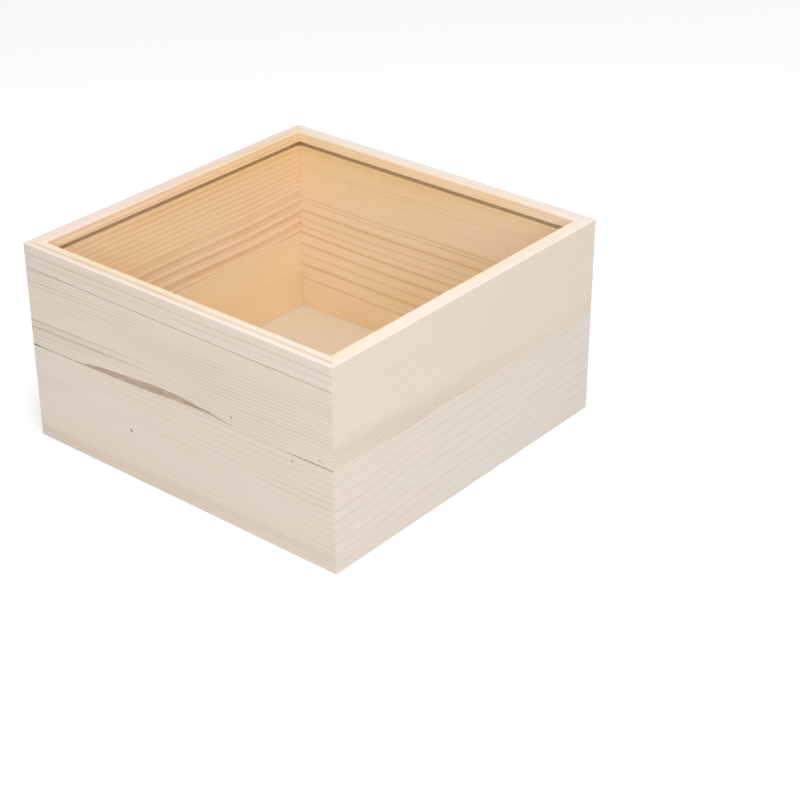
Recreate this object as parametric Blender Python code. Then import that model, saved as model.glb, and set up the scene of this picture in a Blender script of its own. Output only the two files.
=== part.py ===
"""A square pine box with a sliding clear lid.

Four walls stand around a thin plywood bottom and meet in mitred corners. Each wall is two
boards glued edge to edge. The left, right and back walls carry a groove near their top. The
front wall is lower: the strip that is missing there is a rail, and the rail carries the clear
panel of the lid, which slides out towards the front in the groove.

Metres, +Z up. The origin is the centre of the underside, and the low front wall faces -Y.
"""
import math

import bmesh
import bpy

# Driving dimensions.
SIDE = 0.200              # outer width, and outer depth
HEIGHT = 0.108            # outer height of the left, right and back walls
WALL = 0.008              # thickness of every board
RAIL_HEIGHT = 0.013       # the part of the front's height that belongs to the lid
EASE = 0.0008             # chamfer on the long edges that a hand meets
GAP = 0.0003              # gap between two pieces that meet

# The bottom sheet, let into a rebate around the foot of the walls.
BOTTOM_THICKNESS = 0.002
REBATE_DEPTH = 0.004

# The lid's panel, the groove it slides in, and the slot that holds it in the rail.
PANEL_THICKNESS = 0.002
PANEL_Z = 0.101           # middle of the panel's thickness
GROOVE_DEPTH = 0.0036
SLOT_DEPTH = 0.005

# Each wall is cut from an edge-glued panel, so its glue line lies at a height of its own and
# need not be level: its height at the wall's left and right end, seen from outside.
SEAMS = {
    "front": (0.0523, 0.0553),
    "right": (0.0538, 0.0568),
    "back": (0.0705, 0.0705),
    "left": (0.0475, 0.0475),
}

# Heights and lengths that follow.
HALF_SIDE = SIDE / 2
HALF_GAP = GAP / 2
FRONT_HEIGHT = HEIGHT - RAIL_HEIGHT
GROOVE_BOTTOM = PANEL_Z - PANEL_THICKNESS / 2 - GAP
GROOVE_TOP = PANEL_Z + PANEL_THICKNESS / 2 + GAP
MITRE_SETBACK = HALF_GAP * math.sqrt(2)   # moves a mitred end back by half the gap

# Each wall is turned about the box's centre from the front wall's place.
WALL_TURNS = {"front": 0, "right": 90, "back": 180, "left": 270}

# Colour, roughness and metallic value, with the colour's last number its opacity.
FINISHES = {
    "pine_front": ((0.72, 0.62, 0.50, 1.0), 0.62, 0.0),
    "pine_side": ((0.80, 0.70, 0.56, 1.0), 0.62, 0.0),
    "pine_back": ((0.78, 0.66, 0.48, 1.0), 0.62, 0.0),
    "pine_rail": ((0.74, 0.62, 0.46, 1.0), 0.60, 0.0),
    "plywood": ((0.80, 0.67, 0.52, 1.0), 0.68, 0.0),
    "acrylic": ((0.94, 0.97, 1.0, 0.18), 0.04, 0.0),
}


def clear_scene():
    """Removes what the file held before."""
    for thing in list(bpy.data.objects):
        bpy.data.objects.remove(thing, do_unlink=True)


def finish_material(node_name, finish):
    """The piece's own material, in one of the finishes above."""
    colour, roughness, metallic = FINISHES[finish]
    material = bpy.data.materials.new(node_name)
    material.use_nodes = True
    shader = material.node_tree.nodes["Principled BSDF"]
    shader.inputs["Base Color"].default_value = (*colour[:3], 1.0)
    shader.inputs["Roughness"].default_value = roughness
    shader.inputs["Metallic"].default_value = metallic
    shader.inputs["Alpha"].default_value = colour[3]
    return material


def add_piece(name, bm, finish, location, turn=0.0, parent=None):
    """Makes a named object of a finished mesh, turned about +Z by so many degrees."""
    mesh = bpy.data.meshes.new(name)
    bmesh.ops.recalc_face_normals(bm, faces=bm.faces)
    bm.to_mesh(mesh)
    bm.free()
    mesh.materials.append(finish_material(name, finish))
    piece = bpy.data.objects.new(name, mesh)
    bpy.context.collection.objects.link(piece)
    piece.parent = parent
    piece.location = location
    piece.rotation_euler = (0.0, 0.0, math.radians(turn))
    return piece


def mitred_board(profile, eased, seam_points=(), rise=0.0):
    """A board along X with 45 degree ends, from its section as (depth, height) points.

    Depth runs inwards from the box's outer face, so each end is set in by the depth. The
    long edges through the points in eased are chamfered. Those through seam_points follow
    the wall's glue line, which climbs by rise for each metre along X.
    """
    bm = bmesh.new()
    ends = []
    for direction in (-1, 1):
        ring = []
        for depth, height in profile:
            along = direction * (HALF_SIDE - depth - MITRE_SETBACK)
            climb = rise * along if (depth, height) in seam_points else 0.0
            ring.append(bm.verts.new((along, depth, height + climb)))
        bm.faces.new(ring)
        ends.append(ring)
    count = len(profile)
    for index in range(count):
        following = (index + 1) % count
        bm.faces.new((ends[0][index], ends[0][following], ends[1][following], ends[1][index]))
    long_edges = [
        bm.edges.get((ends[0][profile.index(point)], ends[1][profile.index(point)]))
        for point in eased
    ]
    bmesh.ops.bevel(bm, geom=long_edges, offset=EASE, segments=1, affect="EDGES")
    return bm


def lower_board_section(seam):
    """Plain board with the rebate for the bottom sheet, from the ground up to the seam."""
    foot = (0.0, 0.0)
    points = [
        foot,
        (WALL - REBATE_DEPTH, 0.0),
        (WALL - REBATE_DEPTH, BOTTOM_THICKNESS + GAP),
        (WALL, BOTTOM_THICKNESS + GAP),
        (WALL, seam - HALF_GAP),
        (0.0, seam - HALF_GAP),
    ]
    return points, [foot], points[-2:]


def grooved_board_section(seam):
    """Upper board of the left, right and back walls, with the lid's groove."""
    inner_edge = (WALL, HEIGHT)
    outer_edge = (0.0, HEIGHT)
    points = [
        (0.0, seam + HALF_GAP),
        (WALL, seam + HALF_GAP),
        (WALL, GROOVE_BOTTOM),
        (WALL - GROOVE_DEPTH, GROOVE_BOTTOM),
        (WALL - GROOVE_DEPTH, GROOVE_TOP),
        (WALL, GROOVE_TOP),
        inner_edge,
        outer_edge,
    ]
    return points, [inner_edge, outer_edge], points[:2]


def front_upper_section(seam):
    """Upper board of the front wall, cut down below the groove's height."""
    top = FRONT_HEIGHT - HALF_GAP
    points = [
        (0.0, seam + HALF_GAP),
        (WALL, seam + HALF_GAP),
        (WALL, top),
        (0.0, top),
    ]
    return points, [(WALL, top)], points[:2]


def rail_section():
    """The lid's rail, with the slot for the panel in its inner face."""
    bottom = FRONT_HEIGHT + HALF_GAP
    inner_edge = (WALL, HEIGHT)
    outer_edge = (0.0, HEIGHT)
    points = [
        (0.0, bottom),
        (WALL, bottom),
        (WALL, GROOVE_BOTTOM),
        (WALL - SLOT_DEPTH, GROOVE_BOTTOM),
        (WALL - SLOT_DEPTH, GROOVE_TOP),
        (WALL, GROOVE_TOP),
        inner_edge,
        outer_edge,
    ]
    return points, [inner_edge, outer_edge]


def wall_origin(turn):
    """The foot of a wall, in the middle of its outer face."""
    angle = math.radians(turn)
    return (HALF_SIDE * math.sin(angle), -HALF_SIDE * math.cos(angle), 0.0)


def sheet(low, high):
    """A flat rectangular sheet between two corners."""
    bm = bmesh.new()
    bmesh.ops.create_cube(bm, size=1.0)
    for vert in bm.verts:
        for axis in range(3):
            vert.co[axis] = high[axis] if vert.co[axis] > 0 else low[axis]
    return bm


def build_walls():
    """Two boards for each wall: lower ones alike, upper ones grooved except at the front."""
    for wall, turn in WALL_TURNS.items():
        finish = {"front": "pine_front", "back": "pine_back"}.get(wall, "pine_side")
        upper_section = front_upper_section if wall == "front" else grooved_board_section
        origin = wall_origin(turn)
        left_end, right_end = SEAMS[wall]
        seam = (left_end + right_end) / 2
        rise = (right_end - left_end) / SIDE
        lower = mitred_board(*lower_board_section(seam), rise)
        upper = mitred_board(*upper_section(seam), rise)
        add_piece(f"{wall}_lower_board", lower, finish, origin, turn)
        add_piece(f"{wall}_upper_board", upper, finish, origin, turn)


def build_bottom():
    """The bottom sheet, flush with the foot of the walls."""
    reach = HALF_SIDE - WALL + REBATE_DEPTH - GAP
    bm = sheet((-reach, -reach, 0.0), (reach, reach, BOTTOM_THICKNESS))
    add_piece("bottom_panel", bm, "plywood", (0.0, 0.0, 0.0))


def build_lid():
    """The rail and the clear panel, on an empty that lies on the lid's sliding line."""
    slide_line = bpy.data.objects.new("lid_slide", None)
    bpy.context.collection.objects.link(slide_line)
    slide_line.location = (0.0, -HALF_SIDE, PANEL_Z)

    rail = mitred_board(*rail_section())
    add_piece("lid_rail", rail, "pine_rail", (0.0, 0.0, -PANEL_Z), parent=slide_line)

    side_reach = HALF_SIDE - WALL + GROOVE_DEPTH - GAP
    front_edge = WALL - SLOT_DEPTH + GAP
    back_edge = SIDE - WALL + GROOVE_DEPTH - GAP
    half_thickness = PANEL_THICKNESS / 2
    panel = sheet(
        (-side_reach, front_edge, -half_thickness),
        (side_reach, back_edge, half_thickness),
    )
    add_piece("lid_panel", panel, "acrylic", (0.0, 0.0, 0.0), parent=slide_line)


clear_scene()
build_walls()
build_bottom()
build_lid()
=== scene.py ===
"""Looks of the square pine box with a sliding clear lid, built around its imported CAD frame.

Every board is a mesh lofted along its wall, with eased long edges, mitred ends, the lid's groove
and the rebate for the bottom sheet. The pine is a solid texture in each board's own frame, so a
ring runs on from a face over an edge and shows again in the end grain. Metres, +Z up, with the
low front wall towards -Y.
"""
import math

import bmesh
import bpy
from mathutils import Matrix, Vector, noise


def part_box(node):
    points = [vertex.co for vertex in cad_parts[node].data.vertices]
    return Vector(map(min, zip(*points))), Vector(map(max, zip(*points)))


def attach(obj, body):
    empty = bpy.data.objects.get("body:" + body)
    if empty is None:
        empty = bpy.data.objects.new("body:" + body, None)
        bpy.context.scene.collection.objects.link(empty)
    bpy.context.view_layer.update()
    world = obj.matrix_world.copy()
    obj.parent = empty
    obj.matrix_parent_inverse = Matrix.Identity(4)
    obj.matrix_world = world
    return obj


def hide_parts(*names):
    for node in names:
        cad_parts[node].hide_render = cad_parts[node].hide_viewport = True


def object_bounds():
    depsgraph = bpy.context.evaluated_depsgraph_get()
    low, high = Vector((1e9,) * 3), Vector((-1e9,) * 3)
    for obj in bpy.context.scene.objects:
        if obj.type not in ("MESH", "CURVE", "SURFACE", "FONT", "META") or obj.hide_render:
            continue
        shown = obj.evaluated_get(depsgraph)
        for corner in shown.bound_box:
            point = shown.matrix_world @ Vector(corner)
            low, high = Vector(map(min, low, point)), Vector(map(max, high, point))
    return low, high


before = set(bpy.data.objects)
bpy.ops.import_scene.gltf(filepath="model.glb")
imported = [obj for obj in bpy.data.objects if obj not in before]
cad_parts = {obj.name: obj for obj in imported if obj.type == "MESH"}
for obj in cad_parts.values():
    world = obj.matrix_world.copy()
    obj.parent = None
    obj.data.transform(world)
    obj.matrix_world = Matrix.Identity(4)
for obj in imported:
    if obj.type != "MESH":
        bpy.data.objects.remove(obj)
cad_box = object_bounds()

MM = 0.001

# Sizes read from the frame.
BOX_HIGH = Vector(cad_box[1])
HALF_SIDE = BOX_HIGH.x
HEIGHT = BOX_HIGH.z
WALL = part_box("front_lower_board")[1].y + HALF_SIDE
FRONT_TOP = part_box("front_upper_board")[1].z
RAIL_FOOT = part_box("lid_rail")[0].z
PANEL_LOW, PANEL_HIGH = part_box("lid_panel")
SHEET_LOW, SHEET_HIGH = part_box("bottom_panel")

# Clearances.
GAP = 0.3 * MM             # between the lid's panel and its groove, and around the bottom sheet
JOINT = 0.02 * MM          # half of what a tight glued joint shows

# The groove and the slot for the lid's panel, and the rebate for the bottom sheet. Depths run
# inwards from a wall's outer face.
GROOVE_LOW = PANEL_LOW.z - GAP
GROOVE_HIGH = PANEL_HIGH.z + GAP
GROOVE_BACK = HALF_SIDE - PANEL_HIGH.x - GAP
SLOT_BACK = PANEL_LOW.y + HALF_SIDE - GAP
REBATE_WALL = HALF_SIDE - SHEET_HIGH.x - GAP
REBATE_TOP = SHEET_HIGH.z + JOINT

# Edge radii.
EASE = 0.7 * MM            # edges that a hand meets
MEETING = 0.3 * MM         # where the rail meets the front wall, outside
CRISP = 0.12 * MM          # sawn edges
GLUED = 0.04 * MM          # edges at a glue line
CORNER = 0.9 * MM          # the box's four upright corners
SHEET_CORNER = 0.8 * MM    # the bottom sheet's corners, seen from above
SHEET_RIM = 0.2 * MM       # and its rims
PANEL_CORNER = 0.6 * MM    # the same for the lid's clear panel
PANEL_RIM = 0.15 * MM

# How finely the meshes are divided.
ARC_STEPS = 4              # parts of a rounded edge
RIM_STEPS = 2              # parts of a sheet's rounded rim
SUPPORT = 0.2 * MM         # a row of points this close to an arc keeps the flat beside it flat
STEP = 2.0 * MM            # a board's faces
FINE_STEP = 0.6 * MM       # the front wall, where its flaws are
SHARP = math.radians(32)   # edges steeper than this stay sharp

# Wear: the eased edges' radius changes by this share, about this many times a metre.
WEAR_SHARE = 0.35
WEAR_TURNS = 45.0

# What tells one part of a mesh from another.
FLAT_FACE = 0.6            # a sheet's faces look up or down by more than this, its rims by less
ON_FACE = 1e-9             # a point this close to a board's outer face lies on it

# Each wall's turn about the box's centre, from the front wall's place.
TURNS = {"front": 0, "right": 90, "back": 180, "left": 270}


# ---------------------------------------------------------------- meshes

def rounded(corners):
    """An outline's points, with every right-angled corner (depth, height, radius) as an arc."""
    points = []
    for index, (depth, height, radius) in enumerate(corners):
        corner = Vector((depth, height))
        before = Vector(corners[index - 1][:2])
        after = Vector(corners[(index + 1) % len(corners)][:2])
        back = (before - corner).normalized()
        ahead = (after - corner).normalized()
        centre = corner + (back + ahead) * radius
        arc = []
        for step in range(ARC_STEPS + 1):
            angle = math.pi / 2 * step / ARC_STEPS
            arc.append(centre - radius * (ahead * math.cos(angle) + back * math.sin(angle)))
        points.append(arc)
    return points


def divided(arcs, counts):
    """The arcs' points in a ring, with the straight stretch after each arc cut into parts."""
    ring = []
    for index, arc in enumerate(arcs):
        ring += arc
        end = arcs[(index + 1) % len(arcs)][0]
        margin = (end - arc[-1]).normalized() * SUPPORT
        start = arc[-1] + margin
        stop = end - margin
        for part in range(counts[index] + 1):
            ring.append(start.lerp(stop, part / counts[index]))
    return ring


def stations(step):
    """Where a board's sections stand: the outer face's place along the wall, and its depth.

    The last ones at each end go round the upright corner as far as the mitre.
    """
    straight = HALF_SIDE - CORNER
    flat = straight - SUPPORT
    count = round(2 * straight / step)
    middle = [(-flat + 2 * flat * k / count, 0.0) for k in range(count + 1)]
    middle = [(-straight, 0.0)] + middle + [(straight, 0.0)]
    bend = []
    for k in range(1, ARC_STEPS + 1):
        angle = math.pi / 4 * k / ARC_STEPS
        bend.append((straight + CORNER * math.sin(angle), CORNER * (1 - math.cos(angle))))
    return [(-x, depth) for x, depth in reversed(bend)] + middle + bend


def skin_mesh(name, bm, rings):
    """The skin over a row of rings, capped at both ends, and smooth but for its sharp edges."""
    for first, second in zip(rings, rings[1:]):
        for k in range(len(first)):
            following = (k + 1) % len(first)
            bm.faces.new((first[k], first[following], second[following], second[k]))
    bm.faces.new(rings[0])
    bm.faces.new(rings[-1])
    bmesh.ops.recalc_face_normals(bm, faces=bm.faces)
    mesh = bpy.data.meshes.new(name)
    bm.to_mesh(mesh)
    bm.free()
    mesh.shade_smooth()
    mesh.set_sharp_from_angle(angle=SHARP)
    return mesh


def board_mesh(name, section, face_step=STEP, hollow=None):
    """A mitred board. Its frame: X along the wall, Y inwards from the outer face, Z up.

    section(x) gives the outline's corners there, as (depth, height, radius), the outer face
    last. face_step is how finely that face is divided, and hollow(x, height) how far it lies
    inside the planed one.
    """
    corners = section(0.0)
    counts = []
    for index, corner in enumerate(corners):
        following = corners[(index + 1) % len(corners)]
        length = (Vector(following[:2]) - Vector(corner[:2])).length
        counts.append(max(1, round(length / STEP)))
    counts[-1] = round(counts[-1] * STEP / face_step)
    places = stations(face_step)
    reach = places[-1][0]
    bm = bmesh.new()
    rings = []
    for along, outer in places:
        wear = 1.0 + WEAR_SHARE * noise.noise(Vector((along * WEAR_TURNS, len(name), 0.0)))
        worn = [(d, h, r * wear if r > CRISP else r) for d, h, r in section(along)]
        end = math.copysign(JOINT, along) if abs(along) == reach else 0.0
        ring = []
        for depth, height in divided(rounded(worn), counts):
            inward = max(depth, outer)
            x = along - (inward - outer) * along / reach - end
            if hollow and abs(depth) < ON_FACE:
                inward += hollow(x, height)
            ring.append(bm.verts.new((x, inward, height)))
        rings.append(ring)
    return skin_mesh(name, bm, rings)


def sheet_mesh(name, size, corner, rim):
    """A flat sheet about its own centre, with rounded corners and rims of these radii.

    One more ring of points inside each face's rim keeps that face flat.
    """
    half = Vector(size) / 2
    levels = []
    for side in (-1, 1):
        for k in range(RIM_STEPS + 1):
            angle = math.pi / 2 * k / RIM_STEPS
            inset = rim * (1 - math.sin(angle))
            drop = rim * (1 - math.cos(angle))
            levels.append((side * (half.z - drop), inset))
    levels.sort()
    levels = [(-half.z, corner / 2)] + levels + [(half.z, corner / 2)]
    bm = bmesh.new()
    rings = []
    for z, inset in levels:
        ring = []
        for turn in range(4):
            centre_x = (half.x - corner) * (1 if turn in (0, 3) else -1)
            centre_y = (half.y - corner) * (1 if turn in (0, 1) else -1)
            for k in range(ARC_STEPS + 1):
                angle = math.pi / 2 * (turn + k / ARC_STEPS)
                radius = corner - inset
                x = centre_x + radius * math.cos(angle)
                y = centre_y + radius * math.sin(angle)
                ring.append(bm.verts.new((x, y, z)))
        rings.append(ring)
    return skin_mesh(name, bm, rings)


def mark(mesh, name, amount):
    """Keeps amount(x, height) for each point of the outer face, for the material to read."""
    attribute = mesh.attributes.new(name, "FLOAT", "POINT")
    for vertex, value in zip(mesh.vertices, attribute.data):
        value.value = amount(vertex.co.x, vertex.co.z) if vertex.co.y < EASE else 0.0


def place(name, mesh, matrix, body, node):
    """Puts a piece where it stands, in the frame: on its body, in place of its CAD node."""
    piece = bpy.data.objects.new(name, mesh)
    bpy.context.scene.collection.objects.link(piece)
    piece.matrix_world = matrix
    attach(piece, body)
    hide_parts(node)


def wall_matrix(wall):
    """From a board's own frame to its wall's place."""
    angle = math.radians(TURNS[wall])
    foot = Vector((HALF_SIDE * math.sin(angle), -HALF_SIDE * math.cos(angle), 0.0))
    return Matrix.Translation(foot) @ Matrix.Rotation(angle, 4, "Z")


# ---------------------------------------------------------------- materials

class Graph:
    """Short forms for building one material's nodes."""

    def __init__(self, name):
        self.material = bpy.data.materials.new(name)
        self.material.use_nodes = True
        self.nodes = self.material.node_tree.nodes
        self.links = self.material.node_tree.links
        self.nodes.clear()
        self.output = self.nodes.new("ShaderNodeOutputMaterial")

    def put(self, socket, value):
        """Links a socket to another, or gives it a plain value."""
        if isinstance(value, bpy.types.NodeSocket):
            self.links.new(value, socket)
        else:
            socket.default_value = value

    def add(self, kind, inputs=None, **settings):
        """A node with these settings and inputs."""
        node = self.nodes.new(kind)
        for key, value in settings.items():
            setattr(node, key, value)
        for key, value in (inputs or {}).items():
            self.put(node.inputs[key], value)
        return node

    def math(self, operation, first, second=0.0, clamp=False):
        """One Math node's result."""
        inputs = {0: first, 1: second}
        return self.add("ShaderNodeMath", inputs, operation=operation, use_clamp=clamp).outputs[0]

    def span(self, value, low, high, to_low=0.0, to_high=1.0, smooth=True):
        """value, taken from low..high to 0..1 or to another range."""
        node = self.add("ShaderNodeMapRange")
        node.interpolation_type = "SMOOTHSTEP" if smooth else "LINEAR"
        for socket, number in zip(node.inputs[:5], (value, low, high, to_low, to_high)):
            self.put(socket, number)
        return node.outputs[0]

    def noise(self, vector, scale, detail=2.0, rough=0.5):
        """A noise field from 0 to 1, stretched by scale = (x, y, z) in turns per metre."""
        product = self.add("ShaderNodeVectorMath", {0: vector, 1: scale}, operation="MULTIPLY")
        field = self.add("ShaderNodeTexNoise", {
            "Vector": product.outputs[0],
            "Scale": 1.0,
            "Detail": detail,
            "Roughness": rough,
        })
        return field.outputs["Fac"]

    def blend(self, factor, first, second, kind="MIX"):
        """Two colours mixed. Inputs 6 and 7 and output 2 are the node's colour ones."""
        node = self.add("ShaderNodeMix", data_type="RGBA", blend_type=kind)
        self.put(node.inputs[0], factor)
        self.put(node.inputs[6], first)
        self.put(node.inputs[7], second)
        return node.outputs[2]

    def multiply(self, tone, factor, share=1.0):
        """A colour multiplied by another, wholly or by a share."""
        return self.blend(share, tone, factor, "MULTIPLY")

    def ramp(self, value, stops):
        """A grey ramp through (place, value) stops."""
        node = self.add("ShaderNodeValToRGB", {"Fac": value})
        elements = node.color_ramp.elements
        while len(elements) < len(stops):
            elements.new(1.0)
        for element, (position, grey) in zip(elements, sorted(stops)):
            element.position = position
            element.color = (grey, grey, grey, 1.0)
        return node.outputs["Color"]

    def bumped(self, height, strength, distance):
        """The shading normal over a height from 0 to 1."""
        bump = self.add("ShaderNodeBump", {
            "Height": height,
            "Strength": strength,
            "Distance": distance,
        })
        return bump.outputs[0]

    def finish(self, shader):
        """The material, with this shader as its surface."""
        self.links.new(shader.outputs[0], self.output.inputs[0])
        return self.material


def colour(red, green, blue):
    """An opaque colour."""
    return (red, green, blue, 1.0)


WHITE = colour(1.0, 1.0, 1.0)

# Pine: the colour of each kind of face. Inside, and on the strip above the groove, it is a
# warmer, more saturated copy of the outer faces' pine: painted bounce light.
OUTER = colour(0.652, 0.583, 0.513)     # planed faces that look outwards
INNER_BOUNCE_PAINTED = colour(0.97, 0.755, 0.50)       # the faces inside, painted warmer and more saturated as bounce light
# The strip above the groove is painted warm too, a little less than below it: painted bounce
# light.
LIP_BOUNCE_PAINTED = colour(0.93, 0.745, 0.56)         # the strip inside, above the groove
# Top faces: a paler copy of the pine, a painted highlight where light falls from above.
TOP_EDGE_PAINTED_HIGHLIGHT = colour(0.79, 0.70, 0.635)
END_GRAIN = colour(0.82, 0.65, 0.49)

# What late wood multiplies it by.
OUTER_LATE = colour(0.76, 0.675, 0.58)
# Inside, late wood is a warmer copy as well: part of the painted bounce light.
INNER_LATE_BOUNCE_PAINTED = colour(0.79, 0.68, 0.42)
END_LATE = colour(0.27, 0.17, 0.11)
END_CONTRAST = 1.6                      # late wood is that much stronger in end grain

# What broad patches, fibres and flecks multiply it by, and how much of that is used.
OUTER_STAIN = colour(1.0, 0.98, 0.94)
INNER_STAIN = colour(0.985, 0.93, 0.66)
STAIN_SHARE = 0.7
FIBRE_TONE = colour(0.86, 0.80, 0.72)
FIBRE_SHARE = 0.35
FLECK_TONE = colour(0.62, 0.50, 0.38)
FLECK_SHARE = 0.14

# What the bark pocket multiplies it by, at its edge and inside it.
BARK_EDGE = colour(0.50, 0.42, 0.35)
BARK_GREY = colour(0.61, 0.55, 0.48)
BARK_PINK = colour(0.82, 0.66, 0.58)

# Noise fields in the wood, in turns per metre along the board, through it and up it, and the
# values between which each of them takes effect.
WANDER_FIELD = (7.0, 9.0, 16.0)         # how far a ring leaves its straight line
WANDER_GAIN = 4.0 * MM                  # so that wave is about the wander in millimetres
PATCH_FIELD = (9.0, 40.0, 45.0)         # where the fine rings are strong
PATCH_SPAN = (0.38, 0.66)
UNEVEN_FIELD = (22.0, 60.0, 160.0)      # small changes of strength along a ring
UNEVEN_SPAN = (0.25, 0.75)
UNEVEN_RANGE = (0.7, 1.15)
CLOUD_FIELD = (6.0, 30.0, 25.0)         # broad patches
CLOUD_SPAN = (0.36, 0.66)
FIBRE_FIELD = (26.0, 1500.0, 1500.0)
FIBRE_SPAN = (0.3, 0.75)
FLECK_FIELD = (60.0, 900.0, 900.0)
FLECK_SPAN = (0.66, 0.8)
BARK_FIELD = (160.0, 160.0, 700.0)      # grey and pink inside the bark pocket
BARK_SPAN = (0.42, 0.68)

# The mesh's mark for bark, specks and the knot, from 0 to 1.
FLAW_MARK = "flaw"
FLAW_EDGE = (0.3, 0.75)                 # values over which the wood turns into the flaw
FLAW_MIDDLE = (0.45, 0.95)              # and the flaw's edge into its middle
FLAW_RAGGED = 0.3                       # how much the bark's own noise shifts the first

# A band of late wood across its width, as (offset, strength): it grows slowly and stops short.
BAND = ((-0.65, 0.0), (0.08, 1.0), (0.5, 0.0))
MARGIN = 6.0 * MM                       # the bands' ramp reaches this far past a board's edges
FINE_GROWTH = 1.5                       # the higher, the later in its width a fine ring darkens
FINE_STOP = 0.78                        # the share of its width where it begins to stop

# Which face a point is on: parts of a normal, and depths from the wall's outer face.
END_NORMAL = (0.4, 0.6)                 # a board's ends face along the wall, and inwards
TOP_NORMAL = (0.35, 0.8)                # its top faces up
INNER_DEPTH = (0.3 * WALL, 0.5 * WALL)

# The planed surface: its roughness and shine, and how much fibres and late wood stand out.
WOOD_ROUGHNESS = (0.58, 0.72)
WOOD_SHINE = 0.3
ROUGH_SPAN = (0.2, 0.8)
FIBRE_HEIGHT = 0.5
LATE_HEIGHT = 0.4
WOOD_BUMP = 0.25
WOOD_RELIEF = 0.15 * MM                 # depth that the bump stands for


def ring_height(g, here, point, shown, slope, lean, wave, swing):
    """The ring a point belongs to, as the height at which that ring meets the shown face."""
    x, y, z = point
    wander = g.math("SUBTRACT", g.noise(here, WANDER_FIELD, detail=1.5), 0.5)
    ring = g.math("ADD", g.math("MULTIPLY", wander, wave * WANDER_GAIN), z)
    ring = g.math("ADD", ring, g.math("MULTIPLY", x, -slope))
    face = 0.0 if shown == "outer" else WALL
    ring = g.math("ADD", ring, g.math("MULTIPLY", g.math("SUBTRACT", y, face), lean))
    if swing:
        start, stop, rise = swing
        ring = g.math("SUBTRACT", ring, g.span(x, start * MM, stop * MM, 0.0, rise * MM))
    return ring


def band_strength(g, ring, x, rings, low, high, fade):
    """The strength of the late wood's bands, from 0 to 1."""
    start = low - MARGIN
    stop = high + MARGIN
    stops = []
    for height, width, strength in rings:
        for offset, grey in BAND:
            position = ((height + offset * width) * MM - start) / (stop - start)
            stops.append((position, grey * strength))
    bands = g.ramp(g.span(ring, start, stop, smooth=False), stops)
    if fade:
        start, stop, share = fade
        bands = g.math("MULTIPLY", bands, g.span(x, start * MM, stop * MM, 1.0, share))
    return bands


def fine_strength(g, here, ring, pitch, fine, patchy):
    """The strength of the fine rings, which grow slowly, stop short and come in patches."""
    turn = g.math("FRACT", g.math("DIVIDE", ring, pitch * MM))
    swell = g.math("POWER", turn, FINE_GROWTH)
    edge = g.span(turn, FINE_STOP, 1.0, 1.0, 0.0)
    patch = g.span(g.noise(here, PATCH_FIELD, detail=1.0), *PATCH_SPAN, 1.0 - patchy, 1.0)
    return g.math("MULTIPLY", g.math("MULTIPLY", g.math("MULTIPLY", swell, edge), patch), fine)


def with_bark(g, here, tone):
    """The tone, darkened where the mesh's mark says bark pocket, speck or knot."""
    flaw = g.add("ShaderNodeAttribute", attribute_name=FLAW_MARK).outputs["Fac"]
    mottle = g.noise(here, BARK_FIELD, detail=3.0, rough=0.6)
    bark = g.blend(g.span(mottle, *BARK_SPAN), BARK_GREY, BARK_PINK)
    bark = g.blend(g.span(flaw, *FLAW_MIDDLE), BARK_EDGE, bark)
    ragged = g.math("ADD", flaw, g.math("MULTIPLY", mottle, FLAW_RAGGED))
    return g.blend(g.span(ragged, *FLAW_EDGE), tone, g.multiply(tone, bark))


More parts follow.
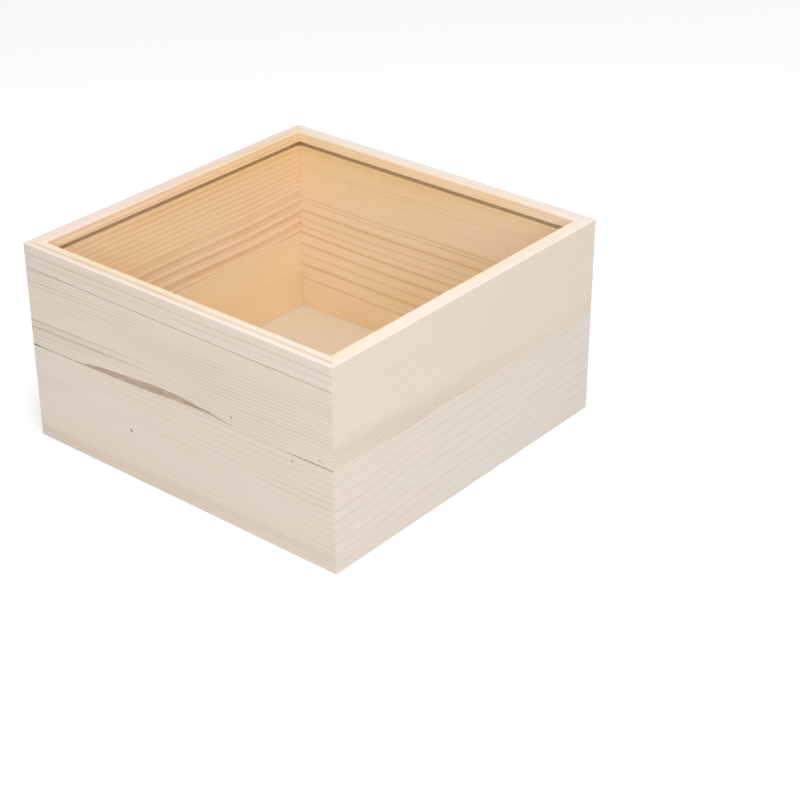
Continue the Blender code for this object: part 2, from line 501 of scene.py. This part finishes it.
def pine(name, low, high, rings, shown="outer", slope=0.0, lean=1.6, wave=3.0, pitch=2.4,
         fine=0.25, patchy=0.9, seed=0.0, fade=None, swing=None, tint=(1.0, 1.0, 1.0),
         flawed=False):
    """Pine for one board, whose own frame is X along the wall, Y inwards and Z up.

    low and high are the heights the board runs between. rings are bands of late wood on the
    shown face: (height, width, strength), in millimetres. slope is their rise per length, lean
    their slant through the thickness, and wave how far they wander. pitch and fine are the
    spacing and strength of the fine rings in between, and patchy how much of that strength they
    lose in places. fade is (from, to, share): the bands keep that share of their strength past
    to. swing is (from, to, rise): the rings climb that far between two places along the wall.
    tint multiplies the whole board's colour, and flawed says that the mesh carries flaw marks.
    """
    g = Graph(name)
    coordinates = g.add("ShaderNodeTexCoord").outputs
    point = g.add("ShaderNodeSeparateXYZ", {0: coordinates["Object"]}).outputs
    x, y, z = point
    shift = (seed, seed * 0.37, seed * 0.71)
    shifted = g.add("ShaderNodeVectorMath", {0: coordinates["Object"], 1: shift}, operation="ADD")
    here = shifted.outputs[0]

    ring = ring_height(g, here, point, shown, slope, lean, wave, swing)
    bands = band_strength(g, ring, x, rings, low, high, fade)
    fine_rings = fine_strength(g, here, ring, pitch, fine, patchy)
    uneven = g.span(g.noise(here, UNEVEN_FIELD), *UNEVEN_SPAN, *UNEVEN_RANGE)
    late = g.math("MULTIPLY", g.math("ADD", bands, fine_rings), uneven, clamp=True)

    # Where a point lies: on a board's end, its top, its inner side, or over the groove.
    along, inwards, up = g.add("ShaderNodeSeparateXYZ", {0: coordinates["Normal"]}).outputs
    slant = g.math("ABSOLUTE", along)
    ends = g.math("MULTIPLY", g.span(slant, *END_NORMAL), g.span(inwards, *END_NORMAL))
    near_top = g.span(z, high - 2 * EASE, high - EASE)
    top = g.math("MULTIPLY", g.span(up, *TOP_NORMAL), near_top)
    inner = g.span(y, *INNER_DEPTH)
    lip = g.span(z, GROOVE_HIGH - CRISP, GROOVE_HIGH + CRISP)

    # The tone there, and what late wood multiplies it by: inside, a copy painted warmer for
    # bounce light, and on top, a paler copy as a painted highlight.
    # Painted bounce light: the faces inside get the warmer copies of the pine.
    tone = g.blend(inner, OUTER, g.blend(lip, INNER_BOUNCE_PAINTED, LIP_BOUNCE_PAINTED))
    # Painted highlight: the tops get the paler copy.
    tone = g.blend(ends, g.blend(top, tone, TOP_EDGE_PAINTED_HIGHLIGHT), END_GRAIN)
    late_tone = g.blend(ends, g.blend(inner, OUTER_LATE, INNER_LATE_BOUNCE_PAINTED), END_LATE)
    contrast = g.span(slant, *END_NORMAL, 1.0, END_CONTRAST)
    late = g.math("MULTIPLY", late, contrast, clamp=True)

    # Broad patches, fibres and flecks, with the rings over them.
    cloud = g.span(g.noise(here, CLOUD_FIELD), *CLOUD_SPAN)
    stain = g.blend(inner, OUTER_STAIN, INNER_STAIN)
    tone = g.multiply(tone, stain, g.math("MULTIPLY", cloud, STAIN_SHARE))
    fibre = g.noise(here, FIBRE_FIELD, detail=3.0, rough=0.65)
    tone = g.multiply(tone, FIBRE_TONE, g.span(fibre, *FIBRE_SPAN, 0.0, FIBRE_SHARE))
    fleck = g.span(g.noise(here, FLECK_FIELD, detail=1.0), *FLECK_SPAN)
    tone = g.multiply(tone, FLECK_TONE, g.math("MULTIPLY", fleck, FLECK_SHARE))
    tone = g.blend(late, tone, g.multiply(tone, late_tone))
    tone = g.multiply(tone, colour(*tint))
    if flawed:
        tone = with_bark(g, here, tone)

    raised = g.math("MULTIPLY", late, LATE_HEIGHT)
    height = g.math("ADD", g.math("MULTIPLY", fibre, FIBRE_HEIGHT), raised)
    shader = g.add("ShaderNodeBsdfPrincipled", {
        "Base Color": tone,
        "Roughness": g.span(fibre, *ROUGH_SPAN, *WOOD_ROUGHNESS),
        "Specular IOR Level": WOOD_SHINE,
        "Normal": g.bumped(height, WOOD_BUMP, WOOD_RELIEF),
    })
    return g.finish(shader)


# The bottom sheet: its noise fields, its tones and its surface.
PLY_FIBRE_FIELD = (900.0, 18.0, 900.0)
PLY_FIBRE_SPAN = (0.35, 0.75)
PLY_CLOUD_FIELD = (14.0, 5.0, 14.0)
PLY_CLOUD_SPAN = (0.3, 0.7)
PLY_PALE = colour(0.69, 0.58, 0.43)
PLY_DEEP = colour(0.66, 0.545, 0.385)
PLY_FIBRE_TONE = colour(0.92, 0.87, 0.80)
PLY_FIBRE_SHARE = 0.3
PLY_ROUGHNESS = (0.6, 0.72)
PLY_SHINE = 0.25
PLY_BUMP = 0.2
PLY_RELIEF = 0.1 * MM


def plywood():
    """The bottom sheet: one even veneer with fine fibres and soft clouds."""
    g = Graph("bottom_sheet")
    here = g.add("ShaderNodeTexCoord").outputs["Object"]
    fibre = g.noise(here, PLY_FIBRE_FIELD, detail=3.0, rough=0.6)
    cloud = g.noise(here, PLY_CLOUD_FIELD)
    tone = g.blend(g.span(cloud, *PLY_CLOUD_SPAN), PLY_PALE, PLY_DEEP)
    share = g.span(fibre, *PLY_FIBRE_SPAN, 0.0, PLY_FIBRE_SHARE)
    shader = g.add("ShaderNodeBsdfPrincipled", {
        "Base Color": g.multiply(tone, PLY_FIBRE_TONE, share),
        "Roughness": g.span(fibre, *ROUGH_SPAN, *PLY_ROUGHNESS),
        "Specular IOR Level": PLY_SHINE,
        "Normal": g.bumped(fibre, PLY_BUMP, PLY_RELIEF),
    })
    return g.finish(shader)


# The clear sheet.
CLEAR_LOW = colour(0.985, 0.989, 1.0)   # what goes through one of its faces, between these two
CLEAR_HIGH = colour(0.992, 0.994, 1.0)
MIRROR_STRAIGHT = 0.015                 # how much it mirrors, seen straight on
MIRROR_GAIN = 0.35                      # how much more at the lowest angle
MIRROR_POWER = 5.0                      # the higher, the later that sets in
HAZE_FIELD = (30.0, 30.0, 30.0)
HAZE_SPAN = (0.3, 0.8)
GLOSS_ROUGHNESS = (0.03, 0.09)

# Its sawn rims, with painted shade: a grey that stands for the dark line a clear rim shows.
SAW_FIELD = (90.0, 90.0, 700.0)
SAW_SPAN = (0.3, 0.7)
SAW_ROUGHNESS = (0.15, 0.4)
RIM_SHADE_DARK = colour(0.20, 0.24, 0.28)     # painted shade of the rim, dark to pale by the saw's noise
RIM_SHADE_PALE = colour(0.34, 0.38, 0.42)
RIM_SHADE_SHARE = 0.3                         # how much of the rim that covers
RIM_CLEAR = colour(0.97, 0.985, 1.0)    # what goes through the rest


def acrylic():
    """Clear polished sheet: it lets light through and mirrors a little, more at a low angle."""
    g = Graph("clear_acrylic")
    here = g.add("ShaderNodeTexCoord").outputs["Object"]
    facing = g.add("ShaderNodeLayerWeight", {"Blend": 0.5}).outputs["Facing"]
    gain = g.math("MULTIPLY", g.math("POWER", facing, MIRROR_POWER), MIRROR_GAIN)
    mirror = g.math("ADD", gain, MIRROR_STRAIGHT)
    haze = g.noise(here, HAZE_FIELD, detail=3.0)
    clear = g.add("ShaderNodeBsdfTransparent", {"Color": g.blend(haze, CLEAR_LOW, CLEAR_HIGH)})
    gloss = g.add("ShaderNodeBsdfGlossy", {
        "Color": WHITE,
        "Roughness": g.span(haze, *HAZE_SPAN, *GLOSS_ROUGHNESS),
    })
    return g.finish(g.add("ShaderNodeMixShader", {
        0: mirror,
        1: clear.outputs[0],
        2: gloss.outputs[0],
    }))


def acrylic_rim():
    """The sheet's sawn and polished rims, painted part grey as painted shade, so they show as a
    thin grey line.
    """
    g = Graph("acrylic_rim")
    here = g.add("ShaderNodeTexCoord").outputs["Object"]
    saw_and_shade = g.noise(here, SAW_FIELD)
    # Painted shade: the grey body that makes the rim show as a line; the saw's noise also sets
    # its roughness.
    body = g.add("ShaderNodeBsdfPrincipled", {
        "Base Color": g.blend(saw_and_shade, RIM_SHADE_DARK, RIM_SHADE_PALE),
        "Roughness": g.span(saw_and_shade, *SAW_SPAN, *SAW_ROUGHNESS),
    })
    clear = g.add("ShaderNodeBsdfTransparent", {"Color": RIM_CLEAR})
    return g.finish(g.add("ShaderNodeMixShader", {
        0: RIM_SHADE_SHARE,
        1: clear.outputs[0],
        2: body.outputs[0],
    }))


# ---------------------------------------------------------------- sections

def lower_section(seam):
    """From the ground to the seam, with the rebate for the bottom sheet."""
    seam -= JOINT
    return [
        (0.0, 0.0, EASE),
        (REBATE_WALL, 0.0, CRISP),
        (REBATE_WALL, REBATE_TOP, CRISP),
        (WALL, REBATE_TOP, CRISP),
        (WALL, seam, GLUED),
        (0.0, seam, GLUED),
    ]


def upper_section(seam):
    """From the seam to the top, with the lid's groove in the inner face."""
    seam += JOINT
    return [
        (0.0, seam, GLUED),
        (WALL, seam, GLUED),
        (WALL, GROOVE_LOW, CRISP),
        (GROOVE_BACK, GROOVE_LOW, CRISP),
        (GROOVE_BACK, GROOVE_HIGH, CRISP),
        (WALL, GROOVE_HIGH, CRISP),
        (WALL, HEIGHT, EASE),
        (0.0, HEIGHT, EASE),
    ]


def front_upper_section(seam):
    """The front wall's upper board, which ends under the lid's rail."""
    seam += JOINT
    return [
        (0.0, seam, GLUED),
        (WALL, seam, GLUED),
        (WALL, FRONT_TOP, EASE),
        (0.0, FRONT_TOP, MEETING),
    ]


def rail_section(_):
    """The lid's rail, with the slot for the panel: the same all along the wall."""
    return [
        (0.0, RAIL_FOOT, MEETING),
        (WALL, RAIL_FOOT, CRISP),
        (WALL, GROOVE_LOW, CRISP),
        (SLOT_BACK, GROOVE_LOW, CRISP),
        (SLOT_BACK, GROOVE_HIGH, CRISP),
        (WALL, GROOVE_HIGH, CRISP),
        (WALL, HEIGHT, EASE),
        (0.0, HEIGHT, EASE),
    ]


# ---------------------------------------------------------------- the box

# The grain of each board, in the words of pine() above.
GRAIN = {
    "front_upper_board": dict(
        rings=[(91.5, 0.9, 0.45), (89.0, 0.9, 0.45), (85.0, 0.8, 0.3), (80.5, 0.8, 0.35),
               (69.2, 1.6, 0.85), (65.6, 1.9, 1.0), (62.0, 0.8, 0.35)],
        slope=0.03, wave=1.2, pitch=2.0, fine=0.9, patchy=0.7, fade=(-55.0, -5.0, 0.15), seed=1.0,
        tint=(1.0, 1.0, 0.985)),
    "front_lower_board": dict(
        rings=[(37.0, 1.0, 0.2), (33.5, 1.0, 0.2), (7.0, 1.4, 0.5), (4.6, 1.2, 0.5)],
        slope=0.01, wave=1.0, pitch=3.4, fine=0.4, seed=2.0),
    "right_upper_board": dict(
        rings=[(67.6, 1.0, 0.2), (65.9, 1.0, 0.35), (64.2, 1.0, 0.55), (62.5, 1.0, 0.75),
               (60.8, 1.0, 0.9), (59.1, 1.0, 1.0), (57.4, 1.0, 1.0), (55.7, 1.0, 1.0),
               (54.0, 1.0, 0.9)],
        slope=-0.03, wave=0.5, pitch=3.0, fine=0.04, fade=(-20.0, 60.0, 0.35), seed=3.0,
        tint=(1.02, 1.01, 0.985)),
    "right_lower_board": dict(
        rings=[(48.6, 1.5, 0.26), (42.0, 1.6, 0.28), (35.5, 1.6, 0.28), (29.5, 1.6, 0.3),
               (24.0, 1.6, 0.3), (18.0, 1.6, 0.32), (12.6, 1.6, 0.32), (6.6, 1.6, 0.3)],
        slope=0.004, wave=1.4, pitch=6.0, fine=0.05, swing=(-80.0, -42.0, 3.5), seed=4.0,
        tint=(1.0, 1.02, 1.06)),
    "back_upper_board": dict(
        rings=[(89.9, 1.2, 0.4), (87.7, 1.2, 0.4)],
        shown="inner", wave=2.0, pitch=4.0, fine=0.2, seed=5.0),
    "back_lower_board": dict(
        rings=[(69.2, 1.6, 0.7), (67.0, 1.4, 0.6), (61.3, 2.4, 1.0), (56.3, 1.8, 0.7),
               (51.6, 1.8, 0.7), (47.0, 2.2, 1.0), (40.2, 2.4, 1.0), (33.9, 1.8, 0.7),
               (27.7, 2.4, 1.0), (19.2, 2.0, 0.7)],
        shown="inner", wave=0.9, pitch=4.0, fine=0.3, seed=6.0),
    "left_upper_board": dict(
        rings=[(72.0, 2.2, 0.5), (66.0, 2.6, 0.75), (59.9, 2.9, 1.0), (53.5, 2.9, 1.0),
               (48.4, 2.2, 0.6)],
        shown="inner", lean=-2.4, wave=2.0, pitch=3.1, fine=1.0, patchy=0.3,
        seed=7.0, tint=(1.03, 0.985, 1.04)),
    "left_lower_board": dict(
        rings=[(45.6, 0.9, 0.4), (43.5, 0.9, 0.4), (41.3, 0.9, 0.3), (24.2, 1.4, 0.25),
               (19.9, 1.4, 0.25)],
        shown="inner", wave=1.0, pitch=3.0, fine=0.1, seed=8.0),
    "lid_rail": dict(
        rings=[(99.5, 1.2, 0.4), (103.0, 1.4, 0.5), (112.0, 3.0, 0.9)],
        lean=1.3, wave=0.8, pitch=2.2, fine=0.4, seed=9.0),
}

# The bark pocket on the front wall's glue line: (place along the wall, lower edge, upper edge)
# in millimetres, and the specks and the pin knot: (place, height, half width, half height).
BARK = [(-100.0, 51.9, 53.1), (-88.0, 52.3, 52.9), (-76.0, 52.5, 53.1), (-64.0, 53.0, 53.9),
        (-56.0, 53.3, 55.0), (-43.0, 53.7, 56.6), (-20.0, 54.5, 58.2), (-14.0, 54.8, 59.0),
        (0.0, 56.0, 59.0), (11.0, 56.4, 58.4), (23.0, 56.6, 57.7), (30.0, 55.9, 56.8),
        (37.0, 55.2, 55.8), (41.0, 55.0, 55.1), (47.0, 54.8, 55.1), (52.0, 54.8, 55.5),
        (58.0, 54.8, 55.0), (70.0, 54.5, 54.8), (76.0, 54.3, 55.1), (100.0, 54.8, 55.6)]
SPECKS = [(-31.7, 27.4, 1.0, 0.9), (37.2, 60.1, 0.35, 1.0), (91.4, 57.8, 0.35, 0.5),
          (74.6, 51.2, 0.5, 0.45)]
POCKET_DEPTH = 0.30 * MM
RAGGED = 0.35              # millimetres that the pocket's edge strays
RAGGED_TURNS = (0.6, 1.5)  # how often, per millimetre along the wall and up it
EDGE_WIDTH = 0.9           # millimetres over which the bark sets in
EDGE_START = 0.45          # how much of it there is on the outline itself
SPECK_EDGE = 1.5           # a speck ends at this many times its half width
THIN_FLAW = 0.3            # how strong the pocket stays where it is a mere line
FULL_WIDTH = 3.0           # millimetres of width that add as much again


def pocket_flaw(x, height, low, high):
    """How far a point is bark, from 0 to 1, between the pocket's edges. In millimetres."""
    along, up = RAGGED_TURNS
    ragged = RAGGED * noise.noise(Vector((x * along, height * up, 0.0)))
    inside = min(height - low, high - height) + ragged
    strength = min(1.0, THIN_FLAW + (high - low) / FULL_WIDTH)
    return min(1.0, max(0.0, inside / EDGE_WIDTH + EDGE_START)) * strength


def front_flaw(x, height):
    """1 in the middle of the bark pocket, a speck or the knot, 0 outside them."""
    x = x / MM
    height = height / MM
    flaw = 0.0
    for (x_0, low_0, high_0), (x_1, low_1, high_1) in zip(BARK, BARK[1:]):
        if x_0 <= x <= x_1:
            share = (x - x_0) / (x_1 - x_0)
            low = low_0 + (low_1 - low_0) * share
            high = high_0 + (high_1 - high_0) * share
            flaw = pocket_flaw(x, height, low, high)
            break
    for centre, level, half_width, half_height in SPECKS:
        reach = math.hypot((x - centre) / half_width, (height - level) / half_height)
        flaw = max(flaw, min(1.0, SPECK_EDGE - reach))
    return flaw


def front_hollow(x, height):
    """How deep the bark pocket and the specks are sunk into the front wall's outer face."""
    return POCKET_DEPTH * front_flaw(x, height) ** 2


def seam_height(wall, x):
    """The height of a wall's glue line, which may climb along the wall."""
    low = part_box(f"{wall}_upper_board")[0].z
    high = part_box(f"{wall}_lower_board")[1].z
    if high < low:
        return (low + high) / 2
    return low + (high - low) * (x + HALF_SIDE) / (2 * HALF_SIDE)


def section_along(wall, shape):
    """A board's section at each place along its wall, which follows the glue line there."""
    def section(x):
        return shape(seam_height(wall, x))
    return section


def build_walls():
    """Two boards to a wall. The front wall's carry the flaws."""
    for wall in TURNS:
        flawed = wall == "front"
        shapes = {
            "lower": lower_section,
            "upper": front_upper_section if flawed else upper_section,
        }
        for level, shape in shapes.items():
            node = f"{wall}_{level}_board"
            name = f"{node}_wood"
            section = section_along(wall, shape)
            if flawed:
                mesh = board_mesh(name, section, FINE_STEP, front_hollow)
                mark(mesh, FLAW_MARK, front_flaw)
            else:
                mesh = board_mesh(name, section)
            low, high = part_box(node)
            wood = pine(f"{node}_pine", low.z, high.z, flawed=flawed, **GRAIN[node])
            mesh.materials.append(wood)
            place(name, mesh, wall_matrix(wall), "box", node)


def build_bottom():
    """The thin sheet that lies in the walls' rebates."""
    centre = (SHEET_LOW + SHEET_HIGH) / 2
    mesh = sheet_mesh("bottom_sheet", SHEET_HIGH - SHEET_LOW, SHEET_CORNER, SHEET_RIM)
    mesh.materials.append(plywood())
    place("bottom_sheet", mesh, Matrix.Translation(centre), "box", "bottom_panel")


def build_lid():
    """The rail and the clear panel, which slide out together."""
    rail = board_mesh("lid_rail_wood", rail_section)
    rail.materials.append(pine("lid_rail_pine", RAIL_FOOT, HEIGHT, **GRAIN["lid_rail"]))
    place("lid_rail_wood", rail, wall_matrix("front"), "lid", "lid_rail")

    centre = (PANEL_LOW + PANEL_HIGH) / 2
    panel = sheet_mesh("lid_panel_acrylic", PANEL_HIGH - PANEL_LOW, PANEL_CORNER, PANEL_RIM)
    panel.materials.append(acrylic())
    panel.materials.append(acrylic_rim())
    for face in panel.polygons:
        face.material_index = 1 if abs(face.normal.z) < FLAT_FACE else 0
    place("lid_panel_acrylic", panel, Matrix.Translation(centre), "lid", "lid_panel")


# ---------------------------------------------------------------- studio

ROOM_LIGHT = 0.50          # how strongly the white surroundings light the box
FLOOR_GLOW = 0.16          # keeps the floor white, as a light table's is
FAR_GLOW = 0.55            # the same away from the lamps, where the floor would turn grey
GLOW_SPAN = (0.5, 1.8)     # distances from the box between which the one becomes the other
FLOOR_REACH = 12.0         # from its middle to its edge
FLOOR_WHITE = colour(0.9, 0.9, 0.9)
FLOOR_ROUGHNESS = 0.9

# Lamps: where they stand, how wide they are, and their power in watts.
OVERHEAD = ((0.30, -0.22, 1.4), 1.2, 13.6)
SOFTBOX = ((0.80, -0.78, 0.54), 0.5, 4.0)

# The camera: its place, how far it looks down and how far to the left of straight back, in
# degrees, and its sensor's width and focal length, in millimetres.
CAMERA_PLACE = (0.5924, -0.6530, 0.5131)
LOOK_DOWN = 29.64
LOOK_LEFT = 39.43
SENSOR = 36.0
LENS = 88.27


def area_light(name, location, size, power):
    """A round soft light that looks at the box."""
    light = bpy.data.lights.new(name, "AREA")
    light.shape = "DISK"
    light.size = size
    light.energy = power
    lamp = bpy.data.objects.new(name, light)
    lamp.location = location
    aim = Vector((0.0, 0.0, HEIGHT / 2)) - lamp.location
    lamp.rotation_euler = aim.to_track_quat("-Z", "Y").to_euler()
    bpy.context.scene.collection.objects.link(lamp)


def white_floor():
    """A plain floor with no edge in sight."""
    bm = bmesh.new()
    bmesh.ops.create_grid(bm, x_segments=2, y_segments=2, size=FLOOR_REACH)
    mesh = bpy.data.meshes.new("floor")
    bm.to_mesh(mesh)
    bm.free()
    g = Graph("white_floor")
    here = g.add("ShaderNodeTexCoord").outputs["Object"]
    distance = g.add("ShaderNodeVectorMath", {0: here}, operation="LENGTH").outputs["Value"]
    shader = g.add("ShaderNodeBsdfPrincipled", {
        "Base Color": FLOOR_WHITE,
        "Roughness": FLOOR_ROUGHNESS,
        "Specular IOR Level": 0.0,
        "Emission Color": WHITE,
        "Emission Strength": g.span(distance, *GLOW_SPAN, FLOOR_GLOW, FAR_GLOW),
    })
    mesh.materials.append(g.finish(shader))
    floor = bpy.data.objects.new("floor", mesh)
    bpy.context.scene.collection.objects.link(floor)


def white_room():
    """Even white surroundings, seen and mirrored as pure white and lighting less than that."""
    world = bpy.data.worlds.new("white_room")
    bpy.context.scene.world = world
    world.use_nodes = True
    nodes = world.node_tree.nodes
    links = world.node_tree.links
    path = nodes.new("ShaderNodeLightPath")
    seen = nodes.new("ShaderNodeMath")
    seen.operation = "MAXIMUM"
    links.new(path.outputs["Is Camera Ray"], seen.inputs[0])
    links.new(path.outputs["Is Glossy Ray"], seen.inputs[1])
    strength = nodes.new("ShaderNodeMapRange")
    strength.inputs["To Min"].default_value = ROOM_LIGHT
    strength.inputs["To Max"].default_value = 1.0
    links.new(seen.outputs[0], strength.inputs["Value"])
    links.new(strength.outputs[0], nodes["Background"].inputs["Strength"])
    nodes["Background"].inputs["Color"].default_value = WHITE


def build_studio():
    """White floor and room, one large soft light from above and one beside the camera."""
    white_floor()
    white_room()
    area_light("overhead", *OVERHEAD)
    area_light("softbox", *SOFTBOX)
    bpy.context.scene.view_settings.view_transform = "Standard"


def build_camera():
    """Looks down on the front right corner, from about a metre away."""
    data = bpy.data.cameras.new("camera")
    data.sensor_width = SENSOR
    data.lens = LENS
    camera = bpy.data.objects.new("camera", data)
    camera.location = CAMERA_PLACE
    camera.rotation_euler = (math.radians(90.0 - LOOK_DOWN), 0.0, math.radians(LOOK_LEFT))
    bpy.context.scene.collection.objects.link(camera)
    bpy.context.scene.camera = camera


build_walls()
build_bottom()
build_lid()
build_studio()
build_camera()
